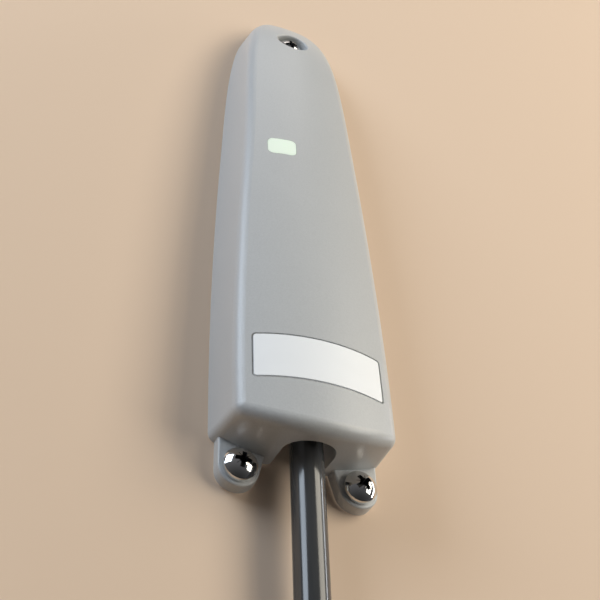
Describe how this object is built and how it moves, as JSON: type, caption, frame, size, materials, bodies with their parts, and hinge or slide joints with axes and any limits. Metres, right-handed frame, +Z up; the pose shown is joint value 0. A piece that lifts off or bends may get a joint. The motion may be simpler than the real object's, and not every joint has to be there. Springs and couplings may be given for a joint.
{
  "type": "soil moisture sensor",
  "caption": "Wall-mounted soil moisture sensor: tapered crowned case with ears, indicator window and label, and a cable down to a pronged soil probe.",
  "frame": {"origin": "where the axis of the top wall screw meets the wall plane", "axes": "+X to the right seen from the front, +Y into the wall, +Z up; the front faces -Y"},
  "size_m": [0.1393, 0.0484, 0.4008],
  "materials": {
    "housing_plastic": "fine-textured warm grey moulded plastic",
    "cover_plastic": "fine-textured warm grey moulded plastic",
    "seal_rubber": "soft black silicone rubber",
    "screw_steel": "bright plated steel",
    "small_screw_steel": "zinc-plated steel",
    "lens_plastic": "milky pale green diffusing plastic",
    "led_body": "pale moulded lamp body",
    "label_film": "satin white film",
    "board_laminate": "green solder mask over glass-fibre laminate",
    "shield_tin": "tinned steel",
    "chip_epoxy": "black moulded epoxy",
    "antenna_copper": "enamelled copper wire",
    "capacitor_sleeve": "shrink sleeve",
    "header_plastic": "natural nylon",
    "wire_red": "red wire insulation",
    "wire_black": "black wire insulation",
    "wire_yellow": "yellow wire insulation",
    "holder_plastic": "black moulded plastic",
    "cell_sleeve": "plain printed sleeve, no lettering",
    "contact_metal": "nickel-plated spring steel",
    "clamp_plastic": "black nylon",
    "cable_jacket": "dark satin cable jacket",
    "boot_rubber": "black moulded rubber",
    "probe_plastic": "black moulded plastic",
    "prong_steel": "stainless steel"
  },
  "bodies": {
    "root": {"front_housing": "housing_plastic", "cable_grommet": "seal_rubber", "board_screws": "small_screw_steel", "holder_screws": "small_screw_steel", "clamp_screws": "small_screw_steel", "indicator_lens": "lens_plastic", "status_led": "led_body", "label_plate": "label_film", "main_board": "board_laminate", "radio_shield": "shield_tin", "controller_chip": "chip_epoxy", "antenna_coil": "antenna_copper", "storage_capacitor": "capacitor_sleeve", "probe_header": "header_plastic", "probe_plug": "header_plastic", "wire_red": "wire_red", "battery_lead_red": "wire_red", "wire_black": "wire_black", "battery_lead_black": "wire_black", "wire_yellow": "wire_yellow", "battery_holder": "holder_plastic", "battery_left": "cell_sleeve", "battery_right": "cell_sleeve", "contact_bridge": "contact_metal", "contact_positive": "contact_metal", "contact_negative": "contact_metal", "cable_clamp": "clamp_plastic", "coil_tie": "clamp_plastic", "cable_tail": "cable_jacket", "probe_cable": "cable_jacket", "probe_lead": "cable_jacket", "cable_coil": "cable_jacket", "probe_boot": "boot_rubber", "probe_head": "probe_plastic", "probe_prongs": "prong_steel"},
    "rear_cover": {"rear_cover": "cover_plastic", "cover_gasket": "seal_rubber", "cover_screws": "small_screw_steel"},
    "top_wall_screw": {"top_wall_screw": "screw_steel"},
    "left_wall_screw": {"left_wall_screw": "screw_steel"},
    "right_wall_screw": {"right_wall_screw": "screw_steel"}
  },
  "joints": [
    {"name": "rear_cover_slide", "type": "slide", "parent": "root", "child": "rear_cover", "axis": [0, 1, 0], "range_m": [0, 0.03]},
    {"name": "top_screw_slide", "type": "slide", "parent": "root", "child": "top_wall_screw", "axis": [0, -1, 0], "range_m": [0, 0.045]},
    {"name": "left_screw_slide", "type": "slide", "parent": "root", "child": "left_wall_screw", "axis": [0, -1, 0], "range_m": [0, 0.036]},
    {"name": "right_screw_slide", "type": "slide", "parent": "root", "child": "right_wall_screw", "axis": [0, -1, 0], "range_m": [0, 0.036]}
  ]
}
